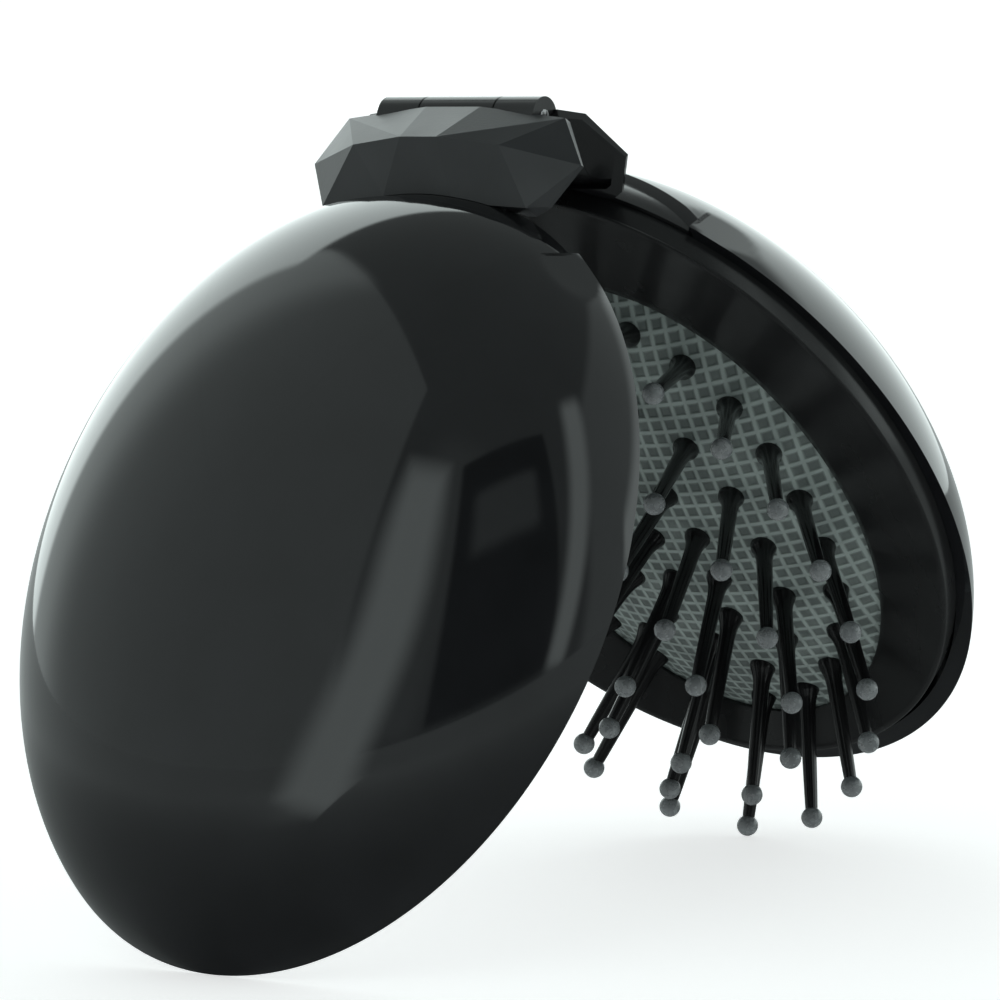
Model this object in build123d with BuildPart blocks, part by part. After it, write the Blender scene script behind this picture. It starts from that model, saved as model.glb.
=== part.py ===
"""Folding travel brush: two glossy egg halves on a pin hinge, standing open like a tent.

Each half has its own plane through the hinge axis. Local x runs along the hinge pin, local y from
the pin to the free tip, and local z from the inside of the half out into its shell. The base half
carries the cushion and its ball tipped pins, and the lid half carries a mirror.
"""
import os
from math import asin, atan2, cos, hypot, pi, radians, sin, sqrt

from build123d import *

# Whole object
open_angle = 65.2  # between the two halves as the brush stands
running_clearance = 0.1  # a side, between pieces that move past each other
seat_clearance = 0.03  # a side, between pieces that are glued or clipped together
overrun = 2.0  # how far a cutting body runs past what it cuts

# Egg shells
shell_half_width = 31.0
shell_half_length = 36.5
shell_depth = 17.1  # of one half, from its rim to the top of its dome
shell_draft_depth = 4.0  # how far the dome's widest section lies beyond the rim
shell_wall = 1.6
shell_near_reach = 7.4  # from the hinge axis to the near end of the egg
shell_centre = shell_near_reach + shell_half_length  # from the axis to the egg's middle
rim_depth = 1.15  # from the hinge axis out to the rim of each shell
shoulder_half_width = 17.25  # of the cut-out for the hinge bracket
shoulder_crown = 10.85  # from the axis to the middle of the cut-out's edge
shoulder_side = 14.4  # from the axis to the ends of the cut-out's edge

# Hinge
pin_radius = 0.6
pin_bore_clearance = 0.02
knuckle_radius = 1.75
knuckle_half_span = 8.6
middle_knuckle_half = 4.1
knuckle_gap = 0.15
leaf_half_width = 9.0
leaf_thickness = 1.0
leaf_face_depth = 1.2  # from the axis plane to the inner face of a hinge leaf
arm_face_depth = 0.35  # the same, of the arms that carry the knuckles
collar_recess = 0.6  # how far the bracket's collar lies under the shell's surface
collar_thickness = 2.4

# Faceted hinge blocks
block_face_depth = 0.5  # from the axis plane to the block's mating face
block_crown_half = 3.0
block_crown_rise = 0.06
block_crown_depth = 2.1
block_corner_half = 11.9
block_corner_reach = 0.8
block_waist_half = 14.7
block_waist_reach = 5.1
block_foot_half = 12.4
block_foot_reach = 9.1
block_front_depth = 5.5
block_brow_half = 8.0
block_brow_reach = 4.8
block_brow_depth = 4.7
block_nose_half = 2.0
block_nose_reach = 4.6
block_toe_half = 11.2
block_toe_reach = 9.85
block_toe_depth = 2.3
block_keel_half = 3.9
block_keel_depth = 3.3
block_bevel = 0.8
block_wall = 1.1
block_wall_height = 0.7

# Cushion frame in the base half
lip_side_margin = 1.2  # from the shell's rim in to the lip
lip_end_margin = 2.0
lip_shift = -0.8  # of the lip's middle, from the egg's towards the tip
lip_half_width = shell_half_width - lip_side_margin
lip_half_length = shell_half_length - lip_end_margin
lip_centre = shell_centre + lip_shift
lip_height = 2.1  # how far the frame stands proud of the shell's rim
lip_width = 0.6
frame_depth = 4.2  # how deep the frame reaches into the shell, from the rim
frame_plate = 1.7
frame_wall = 1.4
opening_clearance = 0.4  # a side, around the cushion
opening_depth = 1.3  # from the axis plane down to the edge of the cushion opening

# Cushion
cushion_side_margin = 11.5  # from the shell's rim in to the cushion
cushion_end_margin = 10.1
cushion_shift = 3.9  # of the cushion's middle, from the egg's towards the tip
cushion_half_width = shell_half_width - cushion_side_margin
cushion_half_length = shell_half_length - cushion_end_margin
cushion_centre = shell_centre + cushion_shift
opening_half_width = cushion_half_width + opening_clearance
opening_half_length = cushion_half_length + opening_clearance
cushion_edge_depth = 1.75
cushion_rise = 4.7
cushion_crown_depth = 10.0  # vertical half axis of the dome's own ellipsoid
cushion_thickness = 1.0
cushion_flange = 0.8
cushion_flange_thickness = 0.9
retainer_thickness = 1.3
retainer_width = 2.0

# Pins
pin_length = 12.4  # from the cushion's surface to the middle of the ball
ball_radius = 1.0
spigot_radius = 0.4
tip_radius = 0.58
shank_radius = 0.74
flare_radius = 1.15
flare_length = 1.7
root_radius = 1.5
root_thickness = 0.4
root_drop = 0.45  # from the cushion's underside to the root's upper face
pin_hole_clearance = 0.3
lean_centre = 31.5  # depth of the point that the pins spread from
lean_side_share = 1.54  # how much more they spread sideways than along the egg
outer_ring_side_margin = 3.4  # from the cushion's edge in to the ring
outer_ring_end_margin = 2.7
outer_ring_shift = 0.3  # of the ring's middle, from the cushion's towards the tip
middle_ring_side_margin = 8.6
middle_ring_end_margin = 9.2
middle_ring_shift = 2.0
inner_ring_side_margin = 14.5
inner_ring_end_margin = 15.0
inner_ring_shift = 2.8
centre_pin_offset = 2.7

# Mirror in the lid half
mirror_side_margin = 9.2  # from the shell's rim in to the glass
mirror_end_margin = 10.3
mirror_back_room = 8.9  # less than the shell's depth, from the axis plane to the glass
mirror_half_width = shell_half_width - mirror_side_margin
mirror_half_length = shell_half_length - mirror_end_margin
mirror_depth = shell_depth - mirror_back_room
mirror_thickness = 1.2
mirror_pad_thickness = 0.3
mirror_pad_margin = 2.5
lid_frame_wall = 1.0
lid_frame_floor = 0.8

# The dome is part of a larger ellipsoid that the rim cuts past its widest section
rim_draft_share = shell_draft_depth / (shell_depth + shell_draft_depth)
full_half_width = shell_half_width / sqrt(1 - rim_draft_share**2)
full_half_length = shell_half_length / sqrt(1 - rim_draft_share**2)
full_half_depth = shell_depth + shell_draft_depth
dome_centre_depth = rim_depth - shell_draft_depth

# So is the cushion
cushion_share = sqrt(1 - ((cushion_crown_depth - cushion_rise) / cushion_crown_depth) ** 2)
cushion_full_width = cushion_half_width / cushion_share
cushion_full_length = cushion_half_length / cushion_share
cushion_dome_centre = cushion_edge_depth - cushion_rise + cushion_crown_depth


def cushion_surface(x, y):
    """Depth of the cushion's outer surface at a place of the base half."""
    share = 1 - (x / cushion_full_width) ** 2 - (y / cushion_full_length) ** 2
    return cushion_dome_centre - cushion_crown_depth * sqrt(share)


def across_and_up(reach, depth, angle):
    """A point of a half, as its distance from and its height over the hinge axis."""
    return reach * sin(angle) + depth * cos(angle), depth * sin(angle) - reach * cos(angle)


# The brush stands on the tip of its lid and on the ball of its last pin, so it leans a little
half_angle = radians(open_angle / 2)
outer_ring_half_length = cushion_half_length - outer_ring_end_margin
last_pin = outer_ring_half_length + outer_ring_shift
last_pin_share = pin_length / hypot(last_pin, lean_centre)
last_ball_reach = cushion_centre + last_pin * (1 + last_pin_share)
last_ball_depth = cushion_surface(0, last_pin) - lean_centre * last_pin_share
tip_reach = shell_centre + shell_half_length
lid_tip_across, lid_tip_up = across_and_up(tip_reach, rim_depth, half_angle)
ball_across, ball_up = across_and_up(last_ball_reach, last_ball_depth, half_angle)
stance = lid_tip_across + ball_across
drop = ball_up - lid_tip_up
lean = asin(ball_radius / hypot(stance, drop)) - atan2(drop, stance)
lid_angle = half_angle - lean
base_angle = half_angle + lean


def dome_reach(angle):
    """How far one half's dome reaches out from the hinge axis, level with the floor."""
    middle = across_and_up(shell_centre, dome_centre_depth, angle)[0]
    return middle + hypot(full_half_length * sin(angle), full_half_depth * cos(angle))


hinge_height = -across_and_up(tip_reach, rim_depth, lid_angle)[1]
hinge_point = (0, (dome_reach(lid_angle) - dome_reach(base_angle)) / 2, hinge_height)
base_side = Plane(origin=hinge_point, x_dir=(1, 0, 0), z_dir=(0, cos(base_angle), sin(base_angle)))
lid_side = Plane(origin=hinge_point, x_dir=(-1, 0, 0), z_dir=(0, -cos(lid_angle), sin(lid_angle)))

os.makedirs("parts", exist_ok=True)


def save(piece, label):
    """Label a finished piece and write it to its own file."""
    piece.part.label = label
    export_step(piece.part, f"parts/{label}.step")
    solids = piece.part.solids()
    print(f"{label}: {len(solids)} solid(s), {sum(s.volume for s in solids):.1f} mm3")


def ellipsoid(side, half_width, half_length, half_depth, reach, depth):
    """A full ellipsoid whose middle lies at a reach and a depth of one half's plane."""
    return side.location * Pos(0, reach, depth) * scale(Sphere(1), (half_width, half_length, half_depth))


def dome(side, inset):
    """The egg's dome surface, drawn in by an inset, as a full ellipsoid."""
    return ellipsoid(
        side,
        full_half_width - inset,
        full_half_length - inset,
        full_half_depth - inset,
        shell_centre,
        dome_centre_depth,
    )


def shoulder_outline(grow):
    """The cut-out around the hinge bracket: straight flanks and a bowed edge."""
    half = shoulder_half_width + grow
    near = -shoulder_crown
    with BuildLine() as outline:
        ThreePointArc((-half, shoulder_side + grow), (0, shoulder_crown + grow), (half, shoulder_side + grow))
        Polyline((half, shoulder_side + grow), (half, near), (-half, near), (-half, shoulder_side + grow))
    return outline.line


def make_shell(side):
    """One half of the egg: a thin dome, cut at its rim and around the hinge bracket."""
    outside = dome(side, 0)
    inside = dome(side, shell_wall)
    with BuildPart() as shell:
        add(outside)
        add(inside, mode=Mode.SUBTRACT)
        split(bisect_by=side.offset(rim_depth), keep=Keep.TOP)
        with BuildSketch(side.offset(rim_depth)):
            with BuildLine():
                add(shoulder_outline(0))
            make_face()
        extrude(amount=shell_depth, mode=Mode.SUBTRACT)
    return shell


def faceted(side, points):
    """The plane through three points given as (x, y, z) in one half's own axes."""
    first, second, third = [side.from_local_coords(Vector(*p)) for p in points]
    normal = (second - first).cross(third - first)
    middle = side.from_local_coords(Vector(0, block_waist_reach, block_crown_depth))
    if normal.dot(middle - first) > 0:
        normal = normal * -1
    return Plane(origin=first, z_dir=normal)


def make_block(side, spans):
    """A gem-cut cap over the hinge leaf, hollow behind its mating face."""
    crown = (block_crown_half, block_crown_rise, block_crown_depth)
    corner = (block_corner_half, block_corner_reach, block_face_depth + block_bevel)
    waist = (block_waist_half, block_waist_reach, block_face_depth + block_bevel / 2)
    foot = (block_foot_half, block_foot_reach, block_face_depth + block_bevel / 2)
    brow = (block_brow_half, block_brow_reach, block_brow_depth)
    nose = (block_nose_half, block_nose_reach, block_front_depth)
    toe = (block_toe_half, block_toe_reach, block_toe_depth)
    keel = (block_keel_half, block_toe_reach, block_keel_depth)
    facets = [
        (crown, (-crown[0], crown[1], crown[2]), nose),
        (crown, corner, nose),
        (corner, nose, brow),
        (corner, waist, brow),
        (waist, toe, brow),
        (waist, foot, toe),
        (brow, toe, keel),
        (brow, nose, keel),
        (nose, (-nose[0], nose[1], nose[2]), keel),
    ]
    envelope_outline = [
        (-block_corner_half, block_corner_reach),
        (-block_crown_half, block_crown_rise),
        (block_crown_half, block_crown_rise),
        (block_corner_half, block_corner_reach),
        (block_waist_half, block_waist_reach),
        (block_foot_half, block_foot_reach),
        (block_toe_half, block_toe_reach),
        (-block_toe_half, block_toe_reach),
        (-block_foot_half, block_foot_reach),
        (-block_waist_half, block_waist_reach),
    ]
    under_dome = dome(side, collar_recess - seat_clearance)
    leaf_room = hinge_leaf(side, spans, seat_clearance)
    with BuildPart() as block:
        with BuildSketch(side.offset(block_face_depth)):
            with BuildLine():
                Polyline(*envelope_outline, close=True)
            make_face()
        extrude(amount=block_front_depth - block_face_depth)
        for facet in facets:
            for turn in (1, -1):
                mirrored = [(turn * p[0], p[1], p[2]) for p in facet]
                split(bisect_by=faceted(side, mirrored), keep=Keep.BOTTOM)
        with BuildSketch(side.offset(block_face_depth)):
            with BuildLine():
                Polyline(*envelope_outline, close=True)
            make_face()
            offset(amount=-block_wall, kind=Kind.INTERSECTION)
        extrude(amount=block_wall_height, mode=Mode.SUBTRACT)
        add(leaf_room, mode=Mode.SUBTRACT)
        add(under_dome, mode=Mode.SUBTRACT)
        with BuildSketch(Plane.YZ.offset(-knuckle_half_span - knuckle_gap)):
            with Locations((hinge_point[1], hinge_point[2])):
                Circle(knuckle_radius + 2 * running_clearance)
        extrude(amount=2 * (knuckle_half_span + knuckle_gap), mode=Mode.SUBTRACT)
    return block


def hinge_leaf(side, spans, grow):
    """The hinge leaf's plate with the arms that reach to its knuckles."""
    start = knuckle_radius + 2 * running_clearance
    with BuildPart() as leaf:
        with BuildSketch(side.offset(leaf_face_depth - grow)):
            with Locations((0, start - grow)):
                Rectangle(
                    2 * (leaf_half_width + grow),
                    shoulder_crown - start + 2 * grow,
                    align=(Align.CENTER, Align.MIN),
                )
        extrude(amount=leaf_thickness + 2 * grow)
        with BuildSketch(side.offset(arm_face_depth - grow)):
            for low, high in spans:
                with Locations(((low + high) / 2, 0)):
                    Rectangle(high - low + 2 * grow, start + leaf_thickness, align=(Align.CENTER, Align.MIN))
        extrude(amount=knuckle_radius - arm_face_depth + 2 * grow)
    return leaf.part


def make_bracket(side, spans):
    """A hinge bracket: a collar under the shell's edge, a leaf and its knuckles."""
    collar_dome = dome(side, collar_recess)
    collar_inside = dome(side, shell_wall + collar_thickness)
    leaf = hinge_leaf(side, spans, 0)
    with BuildPart() as collar:
        add(collar_dome)
        add(collar_inside, mode=Mode.SUBTRACT)
        split(bisect_by=side.offset(leaf_face_depth), keep=Keep.TOP)
        with BuildSketch(side.offset(leaf_face_depth)):
            with BuildLine():
                add(shoulder_outline(-seat_clearance))
            make_face()
        extrude(amount=shell_depth, mode=Mode.INTERSECT)
    with BuildPart() as bracket:
        add(collar.part)
        add(leaf)
        for low, high in spans:
            with Locations(side.location * Pos((low + high) / 2, 0, 0)):
                Cylinder(knuckle_radius, high - low, rotation=(0, 90, 0))
                Cylinder(
                    pin_radius + pin_bore_clearance,
                    high - low + overrun,
                    rotation=(0, 90, 0),
                    mode=Mode.SUBTRACT,
                )
    return bracket


def section(inset, depth):
    """Half width and half length of the inset dome surface at a depth."""
    share = sqrt(1 - ((depth - dome_centre_depth) / (full_half_depth - inset)) ** 2)
    return (full_half_width - inset) * share, (full_half_length - inset) * share


def shoulder_body(side, grow, low, high):
    """The bracket's room in a frame, between two depths."""
    with BuildPart() as body:
        with BuildSketch(side.offset(low)):
            with BuildLine():
                add(shoulder_outline(grow))
            make_face()
        extrude(amount=high - low)
    return body.part


def slab_of(body, side, low, high):
    """The part of a body between two depths of one half's plane."""
    with BuildPart() as slab:
        add(body)
        split(bisect_by=side.offset(low), keep=Keep.TOP)
        split(bisect_by=side.offset(high), keep=Keep.BOTTOM)
    return slab.part


# Egg shells, brackets and blocks of both halves
base_shell = make_shell(base_side)
save(base_shell, "base_shell")
lid_shell = make_shell(lid_side)
save(lid_shell, "lid_shell")
base_spans = [(knuckle_gap / 2 - middle_knuckle_half, middle_knuckle_half - knuckle_gap / 2)]
lid_spans = [
    (middle_knuckle_half + knuckle_gap / 2, knuckle_half_span),
    (-knuckle_half_span, -middle_knuckle_half - knuckle_gap / 2),
]
base_bracket = make_bracket(base_side, base_spans)
save(base_bracket, "base_hinge_bracket")
lid_bracket = make_bracket(lid_side, lid_spans)
save(lid_bracket, "lid_hinge_bracket")
base_block = make_block(base_side, base_spans)
save(base_block, "base_hinge_block")
lid_block = make_block(lid_side, lid_spans)
save(lid_block, "lid_hinge_block")

# Steel pin through all three knuckles
with BuildPart() as hinge_pin:
    with BuildSketch(Plane.YZ.offset(-knuckle_half_span)):
        with Locations((hinge_point[1], hinge_point[2])):
            Circle(pin_radius)
    extrude(amount=2 * knuckle_half_span)
save(hinge_pin, "hinge_pin")

# Cushion frame: a proud lip, a band that slopes down to the cushion, and a skirt inside the shell
lip_depth = rim_depth - lip_height
frame_bottom = rim_depth + frame_depth
seat_depth = cushion_edge_depth - seat_clearance
skirt_body = slab_of(dome(base_side, shell_wall + seat_clearance), base_side, rim_depth, frame_bottom)
skirt_half_width, skirt_half_length = section(shell_wall + seat_clearance + frame_wall, frame_bottom)
bracket_room = shoulder_body(base_side, running_clearance, rim_depth, frame_bottom + overrun)
pocket_half_width = cushion_half_width + cushion_flange + running_clearance
pocket_half_length = cushion_half_length + cushion_flange + running_clearance
with BuildPart() as base_frame:
    with BuildSketch(base_side.offset(lip_depth)):
        with Locations((0, lip_centre)):
            Ellipse(lip_half_width, lip_half_length)
    extrude(amount=lip_height)
    fillet(base_frame.edges().group_by(Axis((0, 0, 0), tuple(-base_side.z_dir)))[-1], lip_width / 2)
    add(skirt_body)
    with BuildSketch(base_side.offset(lip_depth)):
        with Locations((0, lip_centre)):
            Ellipse(lip_half_width - lip_width, lip_half_length - lip_width)
    with BuildSketch(base_side.offset(opening_depth)):
        with Locations((0, cushion_centre)):
            Ellipse(opening_half_width, opening_half_length)
    loft(mode=Mode.SUBTRACT)
    with BuildSketch(base_side.offset(lip_depth)):
        with Locations((0, cushion_centre)):
            Ellipse(opening_half_width, opening_half_length)
    extrude(amount=frame_depth + lip_height + overrun, mode=Mode.SUBTRACT)
    with BuildSketch(base_side.offset(seat_depth)):
        with Locations((0, cushion_centre)):
            Ellipse(pocket_half_width, pocket_half_length)
    extrude(amount=frame_depth + overrun, mode=Mode.SUBTRACT)
    with BuildSketch(base_side.offset(opening_depth + frame_plate)):
        with Locations((0, shell_centre)):
            Ellipse(skirt_half_width, skirt_half_length)
        with Locations((0, cushion_centre)):
            Ellipse(pocket_half_width + frame_wall, pocket_half_length + frame_wall, mode=Mode.SUBTRACT)
    extrude(amount=frame_depth + overrun, mode=Mode.SUBTRACT)
    add(bracket_room, mode=Mode.SUBTRACT)
save(base_frame, "base_frame")


def pin_place(x, y):
    """Where one pin stands on the cushion, with z along the pin towards its ball."""
    foot = base_side.from_local_coords(Vector(x, cushion_centre + y, cushion_surface(x, y)))
    ahead = base_side.from_local_coords(
        Vector(x * (1 + lean_side_share), cushion_centre + 2 * y, cushion_surface(x, y) - lean_centre)
    )
    return Plane(origin=foot, z_dir=ahead - foot)


def ring_places(side_margin, end_margin, shift, count, turn_share):
    """Places at equal steps around an ellipse inside the cushion's edge, counted from the tip."""
    half_width = cushion_half_width - side_margin
    half_length = cushion_half_length - end_margin
    steps = 90 * count
    angles = [2 * pi * i / steps for i in range(steps + 1)]
    points = [(half_width * sin(a), half_length * cos(a)) for a in angles]
    run = [0]
    for (x0, y0), (x1, y1) in zip(points, points[1:]):
        run.append(run[-1] + sqrt((x1 - x0) ** 2 + (y1 - y0) ** 2))
    goals = [(i + turn_share) / count * run[-1] for i in range(count)]
    found = [next(p for p, r in zip(points, run) if r >= goal) for goal in goals]
    return [pin_place(x, y + shift) for x, y in found]


def deal(places, counts):
    """Share a ring's places out to neighbouring sectors, the first one centred on the tip."""
    first = -(counts[0] // 2)
    groups = []
    for count in counts:
        groups.append([places[(first + i) % len(places)] for i in range(count)])
        first += count
    return groups


outer_counts = [3, 3, 2, 3, 3, 3, 2, 3]
middle_counts = [2, 2, 1, 2, 2, 2, 1, 2]
inner_counts = [3, 2, 3, 2]
outer_ring = ring_places(
    outer_ring_side_margin, outer_ring_end_margin, outer_ring_shift, sum(outer_counts), 0
)
middle_ring = ring_places(
    middle_ring_side_margin, middle_ring_end_margin, middle_ring_shift, sum(middle_counts), 1 / 2
)
inner_ring = ring_places(
    inner_ring_side_margin, inner_ring_end_margin, inner_ring_shift, sum(inner_counts), 0
)
centre_places = [pin_place(0, inner_ring_shift + side * centre_pin_offset) for side in (1, -1)]
sector_names = ["tip", "tip_right", "right", "hinge_right", "hinge", "hinge_left", "left", "tip_left"]
quarter_names = ["tip", "right", "hinge", "left"]
pin_groups = {}
for name, outer, middle in zip(
    sector_names, deal(outer_ring, outer_counts), deal(middle_ring, middle_counts)
):
    pin_groups[f"outer_{name}"] = outer + middle
for name, inner in zip(quarter_names, deal(inner_ring, inner_counts)):
    pin_groups[f"inner_{name}"] = inner
pin_groups["centre"] = centre_places
all_places = [place for places in pin_groups.values() for place in places]

# Rubber cushion: a thin dome with a flange, pierced for its pins
cushion_outside = ellipsoid(
    base_side,
    cushion_full_width,
    cushion_full_length,
    cushion_crown_depth,
    cushion_centre,
    cushion_dome_centre,
)
cushion_inside = ellipsoid(
    base_side,
    cushion_full_width - cushion_thickness,
    cushion_full_length - cushion_thickness,
    cushion_crown_depth - cushion_thickness,
    cushion_centre,
    cushion_dome_centre,
)
with BuildPart() as cushion:
    add(cushion_outside)
    split(bisect_by=base_side.offset(cushion_edge_depth), keep=Keep.BOTTOM)
    with BuildSketch(base_side.offset(cushion_edge_depth)):
        with Locations((0, cushion_centre)):
            Ellipse(cushion_half_width + cushion_flange, cushion_half_length + cushion_flange)
    extrude(amount=cushion_flange_thickness)
    add(cushion_inside, mode=Mode.SUBTRACT)
    with Locations(*[place.location for place in all_places]):
        Cylinder(flare_radius + pin_hole_clearance, 2 * (cushion_thickness + overrun / 2), mode=Mode.SUBTRACT)
save(cushion, "cushion")

with BuildPart() as cushion_retainer:
    with BuildSketch(base_side.offset(cushion_edge_depth + cushion_flange_thickness + seat_clearance)):
        with Locations((0, cushion_centre)):
            Ellipse(pocket_half_width - seat_clearance, pocket_half_length - seat_clearance)
            Ellipse(
                pocket_half_width - retainer_width, pocket_half_length - retainer_width, mode=Mode.SUBTRACT
            )
    extrude(amount=retainer_thickness)
save(cushion_retainer, "cushion_retainer")

# Pins: a root under the cushion, a flared foot, a tapered shank and a spigot inside the ball
ball_seat = pin_length - sqrt(ball_radius**2 - tip_radius**2)
root_top = -(cushion_thickness + root_drop)
with BuildPart() as one_pin:
    with BuildSketch(Plane.XZ):
        with BuildLine():
            Polyline(
                (0, root_top - root_thickness),
                (root_radius, root_top - root_thickness),
                (root_radius, root_top),
                (shank_radius, root_top),
                (shank_radius, -cushion_thickness / 2),
                (flare_radius, -cushion_thickness / 2),
                (flare_radius, pin_hole_clearance),
                (shank_radius, flare_length),
                (tip_radius, ball_seat),
                (spigot_radius, ball_seat),
                (spigot_radius, pin_length),
                (0, pin_length),
                close=True,
            )
        make_face()
    revolve(axis=Axis.Z)
with BuildPart() as one_ball:
    with Locations((0, 0, pin_length)):
        Sphere(ball_radius)
    split(bisect_by=Plane.XY.offset(ball_seat), keep=Keep.TOP)
    with BuildSketch(Plane.XY.offset(ball_seat)):
        Circle(spigot_radius)
    extrude(amount=pin_length - ball_seat, mode=Mode.SUBTRACT)

for name, places in pin_groups.items():
    with BuildPart() as pins:
        with Locations(*[place.location for place in places]):
            add(one_pin.part)
    save(pins, f"pins_{name}")
    with BuildPart() as balls:
        with Locations(*[place.location for place in places]):
            add(one_ball.part)
    save(balls, f"balls_{name}")

# Lid liner: a bowl behind the rim that holds the mirror
mirror_pocket_depth = mirror_depth + mirror_thickness + mirror_pad_thickness
liner_body = slab_of(
    dome(lid_side, shell_wall + seat_clearance), lid_side, rim_depth, mirror_pocket_depth + lid_frame_floor
)
bowl = slab_of(
    dome(lid_side, shell_wall + seat_clearance + lid_frame_wall), lid_side, rim_depth - overrun, mirror_depth
)
lid_bracket_room = shoulder_body(
    lid_side, running_clearance, rim_depth - overrun, mirror_pocket_depth + overrun
)
with BuildPart() as lid_frame:
    add(liner_body)
    add(bowl, mode=Mode.SUBTRACT)
    with BuildSketch(lid_side.offset(mirror_depth)):
        with Locations((0, shell_centre)):
            Ellipse(mirror_half_width + running_clearance, mirror_half_length + running_clearance)
    extrude(amount=mirror_pocket_depth - mirror_depth, mode=Mode.SUBTRACT)
    add(lid_bracket_room, mode=Mode.SUBTRACT)
save(lid_frame, "lid_frame")

with BuildPart() as mirror_pad:
    with BuildSketch(lid_side.offset(mirror_pocket_depth - mirror_pad_thickness)):
        with Locations((0, shell_centre)):
            Ellipse(mirror_half_width - mirror_pad_margin, mirror_half_length - mirror_pad_margin)
    extrude(amount=mirror_pad_thickness)
save(mirror_pad, "mirror_pad")

with BuildPart() as mirror_glass:
    with BuildSketch(lid_side.offset(mirror_depth)):
        with Locations((0, shell_centre)):
            Ellipse(mirror_half_width, mirror_half_length)
    extrude(amount=mirror_thickness)
save(mirror_glass, "mirror_glass")
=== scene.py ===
"""Looks of a folding travel brush: two glossy egg halves on a faceted hinge, with pins and a mirror.

Every size is in millimetres in the classes and becomes metres in the meshes. Each half has its own
axes through the hinge pin: x along the pin, y from the pin to the free tip, and depth from the
inside of the half out into its shell.
"""
import logging
from dataclasses import dataclass, field
from enum import Enum
from math import asin, atan2, cos, hypot, pi, radians, sin, sqrt
from typing import Callable

import bmesh
import bpy
from mathutils import Matrix, Vector


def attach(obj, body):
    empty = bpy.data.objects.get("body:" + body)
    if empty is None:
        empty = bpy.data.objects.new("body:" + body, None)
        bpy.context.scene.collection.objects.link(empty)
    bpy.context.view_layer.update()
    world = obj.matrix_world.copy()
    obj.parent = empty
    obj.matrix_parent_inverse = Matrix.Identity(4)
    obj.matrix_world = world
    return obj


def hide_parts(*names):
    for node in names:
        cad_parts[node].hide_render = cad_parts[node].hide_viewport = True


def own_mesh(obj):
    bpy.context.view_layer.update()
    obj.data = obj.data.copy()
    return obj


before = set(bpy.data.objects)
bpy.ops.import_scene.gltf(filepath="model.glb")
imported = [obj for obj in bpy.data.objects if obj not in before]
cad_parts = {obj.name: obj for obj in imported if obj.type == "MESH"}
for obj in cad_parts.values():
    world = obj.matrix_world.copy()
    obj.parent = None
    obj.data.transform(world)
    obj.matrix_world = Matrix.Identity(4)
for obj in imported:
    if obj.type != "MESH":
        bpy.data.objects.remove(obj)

MM = 0.001
LOG = logging.getLogger("travel_brush")
Point = tuple[float, float, float]
RingShape = Callable[[float], Point]


class Half(Enum):
    """The two halves of the egg."""

    BASE = "base"
    LID = "lid"


@dataclass(frozen=True)
class Stance:
    """How the open brush stands: its hinge axis and the lean of each half from upright."""

    hinge_y: float = -3.8669498
    hinge_z: float = 70.0945295
    base_angle: float = 36.6801670
    lid_angle: float = 28.5198330

    def matrix(self, half: Half) -> Matrix:
        """Give the matrix that takes one half's own axes to the shared frame.

        Args:
            half: The half whose axes are wanted.

        Returns:
            A matrix from millimetres in the half's axes to metres in the frame.
        """
        if half is Half.BASE:
            lean = radians(self.base_angle)
            across, out = Vector((1, 0, 0)), Vector((0, cos(lean), sin(lean)))
        else:
            lean = radians(self.lid_angle)
            across, out = Vector((-1, 0, 0)), Vector((0, -cos(lean), sin(lean)))
        along = out.cross(across)
        turn = Matrix((across, along, out)).transposed().to_4x4()
        place = Matrix.Translation(Vector((0, self.hinge_y, self.hinge_z)) * MM)
        return place @ turn @ Matrix.Scale(MM, 4)


@dataclass(frozen=True)
class EggSizes:
    """The egg's dome, cut past its widest section by the rim."""

    rim_half_width: float = 31.0
    rim_half_length: float = 36.5
    depth: float = 17.1
    draft: float = 4.0
    wall: float = 1.6
    centre: float = 43.9
    rim_depth: float = 1.15
    shoulder_half: float = 17.25
    shoulder_crown: float = 10.85
    shoulder_side: float = 14.4

    @property
    def full(self) -> Point:
        """Half width, half length and half depth of the whole ellipsoid."""
        cut = sqrt(1 - (self.draft / (self.depth + self.draft)) ** 2)
        return self.rim_half_width / cut, self.rim_half_length / cut, self.depth + self.draft

    @property
    def middle_depth(self) -> float:
        """Depth of the ellipsoid's middle."""
        return self.rim_depth - self.draft

    def depth_at(self, x: float, y: float, inset: float = 0.0) -> float:
        """Depth of the dome over a place of the half's plane."""
        width, length, height = (size - inset for size in self.full)
        share = 1 - (x / width) ** 2 - ((y - self.centre) / length) ** 2
        return self.middle_depth + height * sqrt(max(share, 0.0))

    def section(self, inset: float, depth: float) -> tuple[float, float]:
        """Half width and half length of the inset dome at a depth.

        Args:
            inset: How far the surface lies inside the dome.
            depth: The depth of the section.

        Returns:
            The half width and the half length.
        """
        width, length, height = self.full
        share = sqrt(1 - ((depth - self.middle_depth) / (height - inset)) ** 2)
        return (width - inset) * share, (length - inset) * share


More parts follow.
